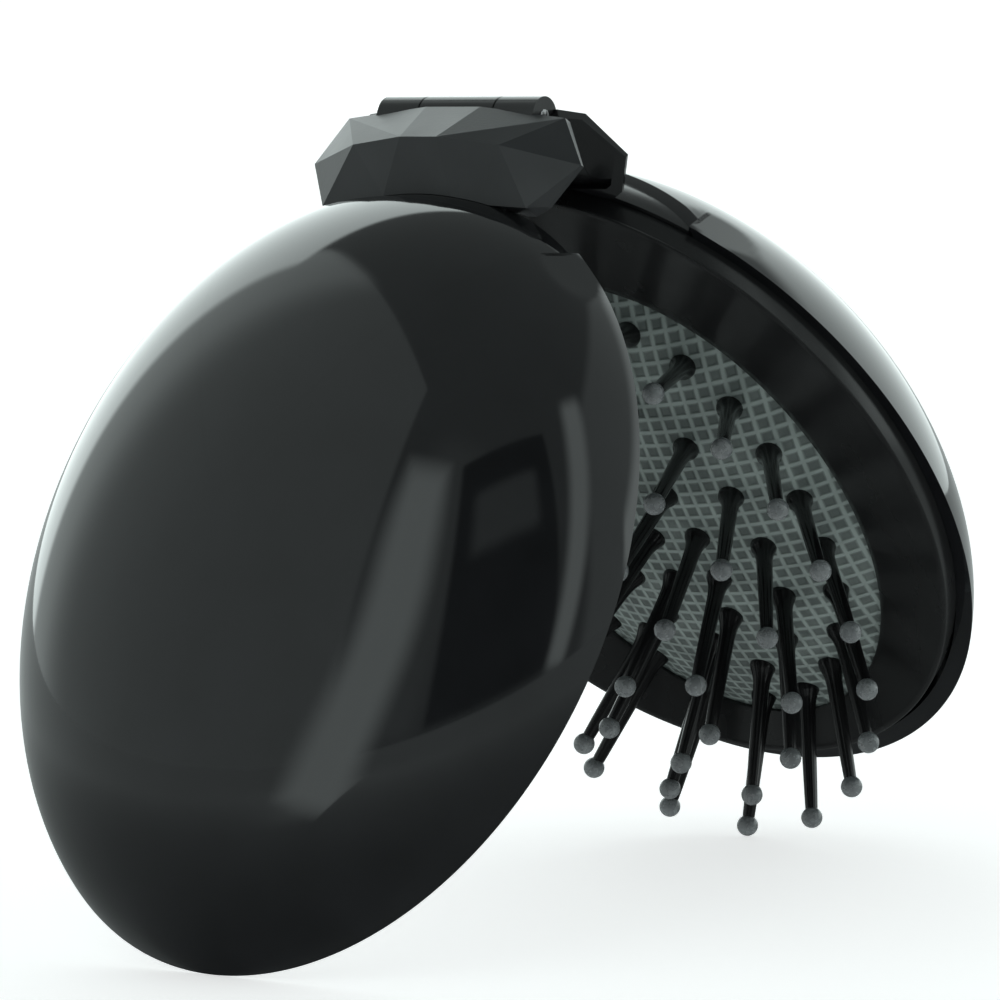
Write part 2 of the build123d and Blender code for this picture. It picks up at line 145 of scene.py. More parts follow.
class Rings:
    """A skin that grows ring by ring out of one circle's edges."""

    def __init__(self, count: int, shape: RingShape) -> None:
        """Start with one ring.

        Args:
            count: How many points each ring has.
            shape: Gives a point of the ring for a share of the way round.
        """
        self.bm = bmesh.new()
        self.turn = self.bm.verts.layers.float.new("turn")
        made = bmesh.ops.create_circle(self.bm, cap_ends=False, segments=count, radius=1.0)
        for vert in made["verts"]:
            vert[self.turn] = (atan2(vert.co.x, vert.co.y) / (2 * pi)) % 1.0
        self.edges = list(self.bm.edges)
        self.first = list(self.bm.edges)
        self._shape(made["verts"], shape)

    def _shape(self, verts: list, shape: RingShape) -> None:
        """Put each point of a ring where its shape says."""
        for vert in verts:
            vert.co = Vector(shape(vert[self.turn]))

    def grow(self, shape: RingShape) -> "Rings":
        """Extrude the last ring into a new one.

        Args:
            shape: Gives a point of the new ring for a share of the way round.

        Returns:
            The same skin.
        """
        made = bmesh.ops.extrude_edge_only(self.bm, edges=self.edges)["geom"]
        verts = [item for item in made if isinstance(item, bmesh.types.BMVert)]
        fresh = set(verts)
        self.edges = [
            item
            for item in made
            if isinstance(item, bmesh.types.BMEdge) and all(vert in fresh for vert in item.verts)
        ]
        self._shape(verts, shape)
        return self

    def from_first(self) -> "Rings":
        """Go on growing from the very first ring."""
        self.edges = self.first
        return self

    def close(self) -> "Rings":
        """Join the last ring to the first one."""
        bmesh.ops.bridge_loops(self.bm, edges=self.edges + self.first)
        return self

    def pole(self) -> "Rings":
        """Draw the last ring together into one point."""
        verts = list({vert for edge in self.edges for vert in edge.verts})
        bmesh.ops.pointmerge(self.bm, verts=verts, merge_co=verts[0].co.copy())
        return self


@dataclass(frozen=True)
class Piece:
    """One finished piece: what it stands for and how it is finished."""

    name: str
    body: str
    slot: str
    material: bpy.types.Material
    nodes: tuple[str, ...]

    def make(self, bm: bmesh.types.BMesh, matrix: Matrix, sharp: float = 35.0) -> bpy.types.Object:
        """Turn a bmesh into an object of the frame.

        Args:
            bm: The mesh in the half's own axes. It is used up.
            matrix: Takes it to the shared frame.
            sharp: Edges that turn by more than this many degrees stay crisp.

        Returns:
            The new object, which rides on its body.
        """
        bmesh.ops.transform(bm, matrix=matrix, verts=bm.verts)
        bmesh.ops.remove_doubles(bm, verts=bm.verts, dist=1e-7)
        bmesh.ops.recalc_face_normals(bm, faces=bm.faces)
        for face in bm.faces:
            face.smooth = True
        for edge in bm.edges:
            edge.smooth = not (edge.is_manifold and edge.calc_face_angle(0) > radians(sharp))
        mesh = bpy.data.meshes.new(self.name)
        bm.to_mesh(mesh)
        bm.free()
        mesh.materials.append(self.material)
        obj = bpy.data.objects.new(self.name, mesh)
        bpy.context.scene.collection.objects.link(obj)
        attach(obj, self.body)
        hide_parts(*self.nodes)
        LOG.info("%s: %d faces on body %s", self.name, len(mesh.polygons), self.body)
        return obj


def soften(obj: bpy.types.Object, width: float, segments: int = 2, angle: float = 32.0) -> None:
    """Round a piece's crisp edges a little.

    Args:
        obj: The piece.
        width: Width of the rounding, in millimetres.
        segments: How many steps the rounding has.
        angle: Edges that turn by more than this many degrees are rounded.
    """
    bevel = obj.modifiers.new("soft_edges", "BEVEL")
    bevel.width = width * MM
    bevel.segments = segments
    bevel.limit_method = "ANGLE"
    bevel.angle_limit = radians(angle)
    bevel.harden_normals = True


class NodeBench:
    """A small helper that wires up one material's nodes."""

    def __init__(self, name: str) -> None:
        """Start a material with its main shader.

        Args:
            name: The material's name.
        """
        self.material = bpy.data.materials.new(name)
        self.material.use_nodes = True
        self.tree = self.material.node_tree
        self.tree.nodes.clear()
        self.output = self.tree.nodes.new("ShaderNodeOutputMaterial")
        self.shader = self.tree.nodes.new("ShaderNodeBsdfPrincipled")
        self.tree.links.new(self.shader.outputs["BSDF"], self.output.inputs["Surface"])
        self.coords = self.tree.nodes.new("ShaderNodeTexCoord").outputs["Object"]

    def link(self, source: bpy.types.NodeSocket, target: bpy.types.NodeSocket) -> None:
        """Join two sockets."""
        self.tree.links.new(source, target)

    def set(self, **values: object) -> None:
        """Set sockets of the main shader by name, with underscores for spaces."""
        for name, value in values.items():
            self.shader.inputs[name.replace("_", " ")].default_value = value

    def noise(
        self, scale: float, detail: float = 2.0, stretch: Point = (1, 1, 1)
    ) -> bpy.types.NodeSocket:
        """Add a noise pattern.

        Args:
            scale: How many features there are in a metre.
            detail: How many finer layers it has.
            stretch: How the pattern is scaled along each axis.

        Returns:
            The socket with its value.
        """
        mapping = self.tree.nodes.new("ShaderNodeMapping")
        mapping.inputs["Scale"].default_value = stretch
        self.link(self.coords, mapping.inputs["Vector"])
        node = self.tree.nodes.new("ShaderNodeTexNoise")
        node.inputs["Scale"].default_value = scale
        node.inputs["Detail"].default_value = detail
        self.link(mapping.outputs["Vector"], node.inputs["Vector"])
        return node.outputs["Fac"]

    def math(
        self, kind: str, first: object, second: object = 0.5, third: object = 0.5
    ) -> bpy.types.NodeSocket:
        """Add a sum of up to three inputs, which are sockets or numbers."""
        node = self.tree.nodes.new("ShaderNodeMath")
        node.operation = kind
        for socket, value in zip(node.inputs, (first, second, third)):
            if isinstance(value, bpy.types.NodeSocket):
                self.link(value, socket)
            else:
                socket.default_value = value
        return node.outputs[0]

    def spread(
        self, value: bpy.types.NodeSocket, low: float, high: float, start: float = 0.3, end: float = 0.7
    ) -> bpy.types.NodeSocket:
        """Map a pattern's middle range onto another range.

        Args:
            value: The pattern.
            low: What its low end becomes.
            high: What its high end becomes.
            start: Where its low end lies.
            end: Where its high end lies.

        Returns:
            The mapped socket.
        """
        node = self.tree.nodes.new("ShaderNodeMapRange")
        node.interpolation_type = "SMOOTHSTEP"
        node.inputs["From Min"].default_value = start
        node.inputs["From Max"].default_value = end
        node.inputs["To Min"].default_value = low
        node.inputs["To Max"].default_value = high
        self.link(value, node.inputs["Value"])
        return node.outputs["Result"]

    def tint(self, value: bpy.types.NodeSocket, dark: Point, light: Point) -> None:
        """Colour the surface between two tones by a pattern."""
        node = self.tree.nodes.new("ShaderNodeValToRGB")
        node.color_ramp.elements[0].position = 0.3
        node.color_ramp.elements[0].color = (*dark, 1)
        node.color_ramp.elements[1].position = 0.7
        node.color_ramp.elements[1].color = (*light, 1)
        self.link(value, node.inputs["Fac"])
        self.link(node.outputs["Color"], self.shader.inputs["Base Color"])

    def bump(self, height: bpy.types.NodeSocket, depth: float, strength: float = 1.0) -> None:
        """Raise the surface by a pattern, to a depth in millimetres."""
        node = self.tree.nodes.new("ShaderNodeBump")
        node.inputs["Strength"].default_value = strength
        node.inputs["Distance"].default_value = depth * MM
        self.link(height, node.inputs["Height"])
        self.link(node.outputs["Normal"], self.shader.inputs["Normal"])


@dataclass(frozen=True)
class MouldedPlastic:
    """Moulded plastic: a faint grain, a little unevenness of gloss and dust-like flecks."""

    name: str
    dark: Point
    light: Point
    roughness: tuple[float, float]
    grain: float = 2500.0
    grain_depth: float = 0.0006
    sink: float = 0.0
    coat: float = 0.0
    specular: float = 0.5

    def build(self) -> bpy.types.Material:
        """Make the material."""
        bench = NodeBench(self.name)
        bench.set(IOR=1.5, Specular_IOR_Level=self.specular, Coat_Weight=self.coat, Coat_Roughness=0.03)
        bench.tint(bench.noise(160.0, 3.0), self.dark, self.light)
        smear = bench.noise(90.0, 4.0, (1, 1, 0.35))
        bench.link(bench.spread(smear, *self.roughness), bench.shader.inputs["Roughness"])
        fine = bench.noise(self.grain, 2.0)
        if self.sink:
            wave = bench.math("MULTIPLY", bench.noise(45.0, 1.0), self.sink)
            fine = bench.math("ADD", fine, wave)
        bench.bump(fine, self.grain_depth)
        return bench.material


@dataclass(frozen=True)
class GridRubber:
    """Rubber with a fine raised square grid, laid along the base half's own axes, its ridges coloured
    lighter as a painted highlight.
    """

    name: str
    lean: float
    pitch: float = 1.4
    ridge: float = 0.16
    height: float = 0.22

    def build(self) -> bpy.types.Material:
        """Make the material."""
        bench = NodeBench(self.name)
        bench.set(IOR=1.45, Specular_IOR_Level=0.35)
        mapping = bench.tree.nodes.new("ShaderNodeMapping")
        mapping.inputs["Rotation"].default_value = (radians(90 - self.lean), 0, 0)
        mapping.inputs["Scale"].default_value = (1 / (self.pitch * MM),) * 3
        mapping.inputs["Location"].default_value = (0.5, 0.3, 0)
        bench.link(bench.coords, mapping.inputs["Vector"])
        parts = bench.tree.nodes.new("ShaderNodeSeparateXYZ")
        bench.link(mapping.outputs["Vector"], parts.inputs["Vector"])
        ridges = []
        for axis in ("X", "Y"):
            fold = bench.math("PINGPONG", parts.outputs[axis], 0.5)
            ridges.append(bench.spread(fold, 0.0, 1.0, self.ridge + 0.12, self.ridge - 0.08))
        grid = bench.math("MAXIMUM", *ridges)
        cloud = bench.noise(220.0, 4.0)
        # Painted highlight: the grid's ridges are coloured lighter than the grooves, on top of their real
        # bump.
        tone = bench.math("ADD", bench.math("MULTIPLY", grid, 0.34), bench.math("MULTIPLY", cloud, 0.6))
        bench.tint(tone, (0.085, 0.105, 0.10), (0.25, 0.30, 0.285))
        rough = bench.spread(bench.noise(700.0, 3.0), 0.42, 0.62)
        bench.link(rough, bench.shader.inputs["Roughness"])
        fine = bench.math("MULTIPLY", bench.noise(5200.0, 2.0), 0.12)
        bench.bump(bench.math("ADD", grid, fine), self.height, 0.9)
        return bench.material


@dataclass(frozen=True)
class BallPlastic:
    """The slightly see-through grey plastic of the ball tips."""

    name: str = "ball_tip_grey"

    def build(self) -> bpy.types.Material:
        """Make the material."""
        bench = NodeBench(self.name)
        bench.set(IOR=1.5, Transmission_Weight=0.25, Subsurface_Weight=0.25, Subsurface_Scale=0.0008)
        bench.shader.inputs["Subsurface Radius"].default_value = (1.0, 1.0, 1.0)
        bench.tint(bench.noise(900.0, 2.0), (0.15, 0.165, 0.17), (0.24, 0.26, 0.265))
        bench.link(bench.spread(bench.noise(1800.0, 3.0), 0.18, 0.34), bench.shader.inputs["Roughness"])
        bench.bump(bench.noise(2600.0, 2.0), 0.004)
        return bench.material


@dataclass(frozen=True)
class DrawnSteel:
    """Drawn steel wire with fine lines along it."""

    name: str = "drawn_steel"

    def build(self) -> bpy.types.Material:
        """Make the material."""
        bench = NodeBench(self.name)
        bench.set(Metallic=1.0)
        lines = bench.noise(4000.0, 3.0, (0.05, 1, 1))
        bench.tint(lines, (0.42, 0.42, 0.43), (0.62, 0.62, 0.63))
        bench.link(bench.spread(lines, 0.22, 0.4), bench.shader.inputs["Roughness"])
        bench.bump(lines, 0.002)
        return bench.material


@dataclass(frozen=True)
class SilveredGlass:
    """A mirror: silver behind clear glass, with a trace of wiping marks."""

    name: str = "silvered_glass"

    def build(self) -> bpy.types.Material:
        """Make the material."""
        bench = NodeBench(self.name)
        bench.set(Metallic=1.0, Coat_Weight=1.0, Coat_Roughness=0.01)
        wiped = bench.noise(140.0, 4.0, (1, 0.3, 0.3))
        bench.tint(wiped, (0.80, 0.82, 0.83), (0.86, 0.88, 0.885))
        bench.link(bench.spread(wiped, 0.008, 0.025), bench.shader.inputs["Roughness"])
        bench.bump(bench.noise(60.0, 1.0), 0.0004)
        return bench.material


@dataclass(frozen=True)
class FoamTape:
    """Dark foam tape with open cells."""

    name: str = "foam_tape"

    def build(self) -> bpy.types.Material:
        """Make the material."""
        bench = NodeBench(self.name)
        cells = bench.noise(2600.0, 4.0)
        bench.tint(cells, (0.02, 0.02, 0.02), (0.07, 0.07, 0.07))
        bench.link(bench.spread(cells, 0.7, 0.95), bench.shader.inputs["Roughness"])
        bench.bump(cells, 0.1)
        return bench.material


class Finishes:
    """Every finish of the brush, built once."""

    def __init__(self, stance: Stance) -> None:
        """Build the finishes.

        Args:
            stance: How the brush stands, which turns the cushion's grid.
        """
        self.shell = MouldedPlastic(
            "shell_gloss", (0.0035, 0.0038, 0.0045), (0.006, 0.0064, 0.0075), (0.045, 0.075),
            grain=700.0, grain_depth=0.00035, sink=6.0, coat=0.25,
        ).build()
        self.caps = {
            Half.LID: MouldedPlastic(
                "hinge_cap_satin", (0.016, 0.0175, 0.019), (0.024, 0.026, 0.028), (0.27, 0.36),
                grain=3600.0, grain_depth=0.006,
            ).build(),
            Half.BASE: MouldedPlastic(
                "hinge_cap_gloss", (0.005, 0.0055, 0.006), (0.009, 0.0095, 0.01), (0.1, 0.16),
                grain=3600.0, grain_depth=0.002,
            ).build(),
        }
        self.collar = MouldedPlastic(
            "collar_gloss", (0.006, 0.0062, 0.0068), (0.011, 0.0115, 0.012), (0.12, 0.2),
            grain=2400.0, grain_depth=0.0015,
        ).build()
        self.liner = MouldedPlastic(
            "liner_gloss", (0.009, 0.0096, 0.010), (0.013, 0.0138, 0.0142), (0.2, 0.3),
            grain=900.0, grain_depth=0.0006, sink=4.0, specular=0.4,
        ).build()
        self.pins = MouldedPlastic(
            "pin_black", (0.003, 0.003, 0.0034), (0.007, 0.007, 0.0075), (0.16, 0.26),
            grain=3000.0, grain_depth=0.002,
        ).build()
        self.retainer = MouldedPlastic(
            "retainer_matt", (0.02, 0.02, 0.02), (0.035, 0.035, 0.035), (0.45, 0.6), grain_depth=0.01,
        ).build()
        self.rubber = GridRubber("cushion_rubber", stance.base_angle).build()
        self.balls = BallPlastic().build()
        self.steel = DrawnSteel().build()
        self.mirror = SilveredGlass().build()
        self.foam = FoamTape().build()


@dataclass(frozen=True)
class ShellSkin:
    """One glossy half of the egg, with its rim and its cut-out around the hinge."""

    half: Half
    egg: EggSizes = EggSizes()
    points: int = 320
    rings: int = 84
    inner_rings: int = 20
    corner_share: float = 0.4062
    flank_points: int = 3
    facet_place: Point = (18.6, 15.9, 0.0)
    facet_cut: float = 0.22

    def boundary(self, share: float) -> tuple[float, float]:
        """Give the shell's edge in the half's plane.

        Args:
            share: How far round from the tip it lies.

        Returns:
            The place across and along the half.
        """
        side = 1.0
        if share > 0.5:
            share, side = 1.0 - share, -1.0
        egg = self.egg
        step = 1.0 / self.points
        corner = round(self.corner_share * self.points) * step
        crown = corner + self.flank_points * step
        half = egg.shoulder_half
        corner_turn = pi - asin(half / egg.rim_half_width)
        if share <= corner + 1e-6:
            turn = share / corner * corner_turn
            return side * egg.rim_half_width * sin(turn), egg.centre + egg.rim_half_length * cos(turn)
        low = egg.centre + egg.rim_half_length * cos(corner_turn)
        if share <= crown + 1e-6:
            part = (share - corner) / (crown - corner)
            return side * half, low + part * (egg.shoulder_side - low)
        rise = egg.shoulder_side - egg.shoulder_crown
        radius = (half**2 + rise**2) / (2 * rise)
        across = half * (0.5 - share) / (0.5 - crown)
        return side * across, egg.shoulder_crown + radius - sqrt(radius**2 - across**2)

    def ring(self, latitude: float, inset: float = 0.0, drop: float = 0.0) -> RingShape:
        """Give one ring of the dome, drawn in from the edge.

        Args:
            latitude: One at the edge and none at the top of the dome.
            inset: How far the ring lies inside the outer dome.
            drop: How far the ring's rim part is set down into the shell.

        Returns:
            A function that places the ring's points.
        """
        egg = self.egg
        edge = asin(egg.rim_half_width / egg.full[0])
        draw = sin(latitude * edge) / sin(edge)
        wide, long = egg.section(inset, egg.rim_depth)
        shrink_x, shrink_y = wide / egg.rim_half_width, long / egg.rim_half_length

        def place(share: float) -> Point:
            """Place a point of the ring."""
            x, y = self.boundary(share)
            flank = abs(x) <= egg.shoulder_half + 1e-6 and y <= egg.shoulder_side + 1e-6
            if not flank:
                x, y = x * shrink_x, egg.centre + (y - egg.centre) * shrink_y
            x, y = x * draw, egg.centre + (y - egg.centre) * draw
            return x, y, max(egg.depth_at(x, y, inset), egg.rim_depth) + drop

        return place

    def cut_facets(self, bm: bmesh.types.BMesh) -> None:
        """Flatten the small facet beside each end of the hinge's cut-out."""
        egg = self.egg
        width, length, height = egg.full
        for side in (1.0, -1.0):
            x, y = side * self.facet_place[0], self.facet_place[1]
            spot = Vector((x, y, egg.depth_at(x, y)))
            normal = Vector(
                (x / width**2, (y - egg.centre) / length**2, (spot.z - egg.middle_depth) / height**2)
            ).normalized()
            for vert in bm.verts:
                over = (vert.co - spot).dot(normal) + self.facet_cut
                if over > 0 and (vert.co - spot).length < 8:
                    vert.co -= normal * over

    def build(self, stance: Stance, finishes: Finishes) -> bpy.types.Object:
        """Make the shell.

        Args:
            stance: How the brush stands.
            finishes: The finishes.

        Returns:
            The shell's object.
        """
        skin = Rings(self.points, self.ring(1.0))
        for index in range(1, self.rings):
            skin.grow(self.ring(1.0 - index / self.rings))
        skin.grow(self.ring(0.0)).pole()
        self.cut_facets(skin.bm)
        skin.from_first()
        for index in range(self.inner_rings):
            skin.grow(self.ring(1.0 - index / self.inner_rings, self.egg.wall))
        skin.grow(self.ring(0.0, self.egg.wall)).pole()
        name = f"{self.half.value}_shell"
        piece = Piece(f"{name}_gloss", self.half.value, "shell", finishes.shell, (name,))
        obj = piece.make(skin.bm, stance.matrix(self.half), 50.0)
        soften(obj, 0.2, 3, 50.0)
        return obj


@dataclass(frozen=True)
class Oval:
    """One oval ring of a moulded part: its half sizes, its middle and its depth."""

    half_width: float
    half_length: float
    centre: float
    depth: float

    def shape(self, share: float) -> Point:
        """Place a point of the oval."""
        turn = 2 * pi * share
        return self.half_width * sin(turn), self.centre + self.half_length * cos(turn), self.depth


@dataclass(frozen=True)
class CushionFrame:
    """The glossy ring round the cushion: a proud lip and a band that slopes inwards."""

    egg: EggSizes = EggSizes()
    lip: Oval = Oval(29.8, 34.5, 43.1, -0.95)
    lip_width: float = 0.6
    opening: Oval = Oval(19.9, 26.8, 47.8, 1.3)
    round_over: float = 0.18
    plate: float = 1.7
    seat_depth: float = 1.72
    pocket: float = 1.1
    band_rings: int = 14
    points: int = 256

    def profile(self) -> list[Oval]:
        """List the ovals from the lip's foot over the band and back underneath."""
        lip, hole, soft = self.lip, self.opening, self.round_over
        inner_width, inner_length = lip.half_width - self.lip_width, lip.half_length - self.lip_width
        under = self.egg.rim_depth - 0.03
        ovals = [Oval(lip.half_width, lip.half_length, lip.centre, under)]
        for turn in (0.0, 0.3, 0.6, 1.0):
            draw = soft * (1 - cos(turn * pi / 2))
            ovals.append(
                Oval(
                    lip.half_width - draw, lip.half_length - draw, lip.centre,
                    lip.depth + soft * (1 - sin(turn * pi / 2)),
                )
            )
        ovals.append(Oval(inner_width + 0.1, inner_length + 0.1, lip.centre, lip.depth))
        for index in range(self.band_rings + 1):
            part = index / self.band_rings
            ovals.append(
                Oval(
                    inner_width + part * (hole.half_width + 0.1 - inner_width),
                    inner_length + part * (hole.half_length + 0.1 - inner_length),
                    lip.centre + part * (hole.centre - lip.centre),
                    lip.depth + 0.03 + part * (hole.depth - lip.depth - 0.03),
                )
            )
        ovals.append(Oval(hole.half_width, hole.half_length, hole.centre, hole.depth + 0.1))
        ovals.append(Oval(hole.half_width, hole.half_length, hole.centre, self.seat_depth))
        wide = Oval(hole.half_width + self.pocket, hole.half_length + self.pocket, hole.centre, 0)
        ovals.append(Oval(wide.half_width, wide.half_length, hole.centre, self.seat_depth))
        ovals.append(Oval(wide.half_width, wide.half_length, hole.centre, hole.depth + self.plate))
        ovals.append(Oval(28.2, 32.8, 43.6, hole.depth + self.plate))
        ovals.append(Oval(29.0, 33.7, 43.3, under))
        return ovals

    def clear_of_bracket(self, oval: Oval) -> RingShape:
        """Keep the underside above the hinge bracket."""

        def place(share: float) -> Point:
            """Place a point of the oval."""
            x, y, depth = oval.shape(share)
            if abs(x) < self.egg.shoulder_half + 0.4 and y < self.egg.shoulder_side + 0.5:
                depth = min(depth, self.egg.rim_depth - 0.03)
            return x, y, depth

        return place

    def build(self, stance: Stance, finishes: Finishes) -> bpy.types.Object:
        """Make the frame.

        Args:
            stance: How the brush stands.
            finishes: The finishes.

        Returns:
            The frame's object.
        """
        ovals = self.profile()
        skin = Rings(self.points, self.clear_of_bracket(ovals[0]))
        for oval in ovals[1:]:
            skin.grow(self.clear_of_bracket(oval))
        skin.close()
        piece = Piece("base_frame_gloss", "base", "liner", finishes.liner, ("base_frame",))
        return piece.make(skin.bm, stance.matrix(Half.BASE), 38.0)


@dataclass(frozen=True)
class PinField:
    """The cushion and the places of its pins."""

    cushion: Oval = Oval(19.5, 26.4, 47.8, 1.75)
    rise: float = 4.7
    crown_depth: float = 10.0
    thickness: float = 1.0
    flange: float = 0.8
    skin_wall: float = 0.85
    rings: int = 40
    under_rings: int = 14
    points: int = 192
    pin_length: float = 12.4
    lean_centre: float = 31.5
    lean_side_share: float = 1.54
    outer: tuple[float, float, float] = (16.1, 23.7, 0.3)
    middle: tuple[float, float, float] = (10.9, 17.2, 2.0)
    inner: tuple[float, float, float] = (5.0, 11.4, 2.8)
    centre_offset: float = 2.7
    outer_counts: tuple[int, ...] = (3, 3, 2, 3, 3, 3, 2, 3)
    middle_counts: tuple[int, ...] = (2, 2, 1, 2, 2, 2, 1, 2)
    inner_counts: tuple[int, ...] = (3, 2, 3, 2)
    sectors: tuple[str, ...] = (
        "tip", "tip_right", "right", "hinge_right", "hinge", "hinge_left", "left", "tip_left",
    )
    quarters: tuple[str, ...] = ("tip", "right", "hinge", "left")

    @property
    def full(self) -> tuple[float, float]:
        """Half width and half length of the cushion's whole ellipsoid."""
        share = sqrt(1 - ((self.crown_depth - self.rise) / self.crown_depth) ** 2)
        return self.cushion.half_width / share, self.cushion.half_length / share

    def depth_at(self, x: float, y: float) -> float:
        """Depth of the cushion at a place counted from its middle."""
        width, length = self.full
        share = sqrt(max(1 - (x / width) ** 2 - (y / length) ** 2, 0.0))
        return self.cushion.depth - self.rise + self.crown_depth * (1 - share)

    def pin_matrix(self, x: float, y: float) -> Matrix:
        """Give the matrix that stands one pin on the cushion.

        Args:
            x: Its place across the half.
            y: Its place along the half, from the cushion's middle.

        Returns:
            The matrix, with z from the foot to the ball.
        """
        foot = Vector((x, self.cushion.centre + y, self.depth_at(x, y)))
        lean = Vector((self.lean_side_share * x, y, -self.lean_centre))
        return Matrix.Translation(foot) @ lean.to_track_quat("Z", "Y").to_matrix().to_4x4()

    def ring_places(
        self, ring: tuple[float, float, float], count: int, turn_share: float
    ) -> list[Matrix]:
        """Give places at equal steps around an oval.

        Args:
            ring: Its half width, its half length and the shift of its middle.
            count: How many pins stand on it.
            turn_share: How far the first pin is turned on from the tip, in steps.

        Returns:
            The pins' matrices.
        """
        half_width, half_length, shift = ring
        steps = 90 * count
        points = [
            (half_width * sin(2 * pi * i / steps), half_length * cos(2 * pi * i / steps))
            for i in range(steps + 1)
        ]
        run = [0.0]
        for (x0, y0), (x1, y1) in zip(points, points[1:]):
            run.append(run[-1] + hypot(x1 - x0, y1 - y0))
        places = []
        for index in range(count):
            goal = (index + turn_share) / count * run[-1]
            x, y = next(p for p, r in zip(points, run) if r >= goal)
            places.append(self.pin_matrix(x, y + shift))
        return places

    def deal(self, places: list[Matrix], counts: tuple[int, ...]) -> list[list[Matrix]]:
        """Share a ring's places out to neighbouring groups, the first centred on the tip."""
        first = -(counts[0] // 2)
        groups = []
        for count in counts:
            groups.append([places[(first + i) % len(places)] for i in range(count)])
            first += count
        return groups

    def groups(self) -> dict[str, list[Matrix]]:
        """Give every group of pins with the matrices of its pins."""
        outer = self.deal(self.ring_places(self.outer, sum(self.outer_counts), 0.0), self.outer_counts)
        middle = self.deal(
            self.ring_places(self.middle, sum(self.middle_counts), 0.5), self.middle_counts
        )
        inner = self.deal(self.ring_places(self.inner, sum(self.inner_counts), 0.0), self.inner_counts)
        made = {f"outer_{name}": a + b for name, a, b in zip(self.sectors, outer, middle)}
        made.update({f"inner_{name}": places for name, places in zip(self.quarters, inner)})
        shift = self.inner[2]
        made["centre"] = [self.pin_matrix(0, shift + side * self.centre_offset) for side in (1, -1)]
        return made

    def ring(self, latitude: float, under: float = 0.0) -> RingShape:
        """Give one ring of the cushion's dome.

        Args:
            latitude: One at the edge and none at the crown.
            under: How far under the outer surface the ring lies.

        Returns:
            A function that places the ring's points.
        """
        width, length = self.full
        edge = asin(self.cushion.half_width / width)
        draw = sin(latitude * edge)
        shrink = 1 - under / self.cushion.half_width

        def place(share: float) -> Point:
            """Place a point of the ring."""
            turn = 2 * pi * share
            x, y = width * draw * sin(turn), length * draw * cos(turn)
            return x * shrink, self.cushion.centre + y * shrink, self.depth_at(x, y) + under

        return place

    def build_cushion(self, stance: Stance, finishes: Finishes) -> bpy.types.Object:
        """Make the cushion.

        Args:
            stance: How the brush stands.
            finishes: The finishes.

        Returns:
            The cushion's object.
        """
        edge = self.cushion
        flat = Oval(edge.half_width + self.flange, edge.half_length + self.flange, edge.centre, edge.depth)
        under = edge.depth + self.skin_wall
        skin = Rings(self.points, flat.shape)
        for index in range(self.rings):
            skin.grow(self.ring(1.0 - index / self.rings))
        skin.grow(self.ring(0.0)).pole()
        skin.from_first().grow(Oval(flat.half_width, flat.half_length, flat.centre, under).shape)
        for index in range(self.under_rings):
            skin.grow(self.ring(1.0 - index / self.under_rings, self.skin_wall))
        skin.grow(self.ring(0.0, self.skin_wall)).pole()
        piece = Piece("cushion_skin", "base", "cushion", finishes.rubber, ("cushion",))
        obj = piece.make(skin.bm, stance.matrix(Half.BASE), 60.0)
        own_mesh(obj)
        return obj


@dataclass(frozen=True)
class PinSet:
    """The look of the pins and of their ball tips."""

    field: PinField = PinField()
    steps: int = 22
    ball_radius: float = 1.0
    ball_seat: float = 11.58
    profile: tuple[tuple[float, float], ...] = (
        (0.0, -0.7), (1.2, -0.7), (1.25, -0.25), (1.23, 0.12), (1.14, 0.4), (1.0, 0.75), (0.88, 1.15),
        (0.8, 1.65), (0.755, 2.3), (0.735, 3.2), (0.7, 5.4), (0.66, 7.8), (0.62, 10.0), (0.585, 11.3),
        (0.56, 11.75), (0.0, 11.9),
    )

    def turned(self, profile: list[tuple[float, float]]) -> bpy.types.Mesh:
        """Spin a profile about the pin's own axis.

        Args:
            profile: Radius and height of its points.

        Returns:
            A mesh that is used once per pin.
        """
        bm = bmesh.new()
        verts = [bm.verts.new((radius, 0, height)) for radius, height in profile]
        edges = [bm.edges.new(pair) for pair in zip(verts, verts[1:])]
        bmesh.ops.spin(
            bm, geom=verts + edges, cent=(0, 0, 0), axis=(0, 0, 1), angle=2 * pi,
            steps=self.steps, use_merge=True, use_normal_flip=False, use_duplicate=False,
        )
        bmesh.ops.remove_doubles(bm, verts=bm.verts, dist=1e-4)
        mesh = bpy.data.meshes.new("turned")
        bm.to_mesh(mesh)
        bm.free()
        return mesh

    def ball_profile(self) -> list[tuple[float, float]]:
        """Give the ball's outline from its seat on the shank to its top."""
        centre, radius = self.field.pin_length, self.ball_radius
        start = asin((self.ball_seat - centre) / radius)
        seat = radius * cos(start)
        outline = [(0.0, self.ball_seat), (seat * 0.8, self.ball_seat)]
        for index in range(13):
            turn = start + (pi / 2 - start) * index / 12
            outline.append((radius * cos(turn), centre + radius * sin(turn)))
        outline[-1] = (0.0, centre + radius)
        return outline

    def stand(self, mesh: bpy.types.Mesh, places: list[Matrix]) -> bmesh.types.BMesh:
        """Stand a copy of a turned mesh at each place."""
        bm = bmesh.new()
        for place in places:
            copy = mesh.copy()
            copy.transform(place)
            bm.from_mesh(copy)
            bpy.data.meshes.remove(copy)
        return bm

    def build(self, stance: Stance, finishes: Finishes) -> None:
        """Make every group of pins and balls.

        Args:
            stance: How the brush stands.
            finishes: The finishes.
        """
        pin = self.turned(list(self.profile))
        ball = self.turned(self.ball_profile())
        matrix = stance.matrix(Half.BASE)
        for name, places in self.field.groups().items():
            body = f"pins_{name}"
            piece = Piece(f"{body}_turned", body, "pins", finishes.pins, (body,))
            piece.make(self.stand(pin, places), matrix, 60.0)
            tips = Piece(f"balls_{name}_turned", body, "ball_tips", finishes.balls, (f"balls_{name}",))
            tips.make(self.stand(ball, places), matrix, 60.0)


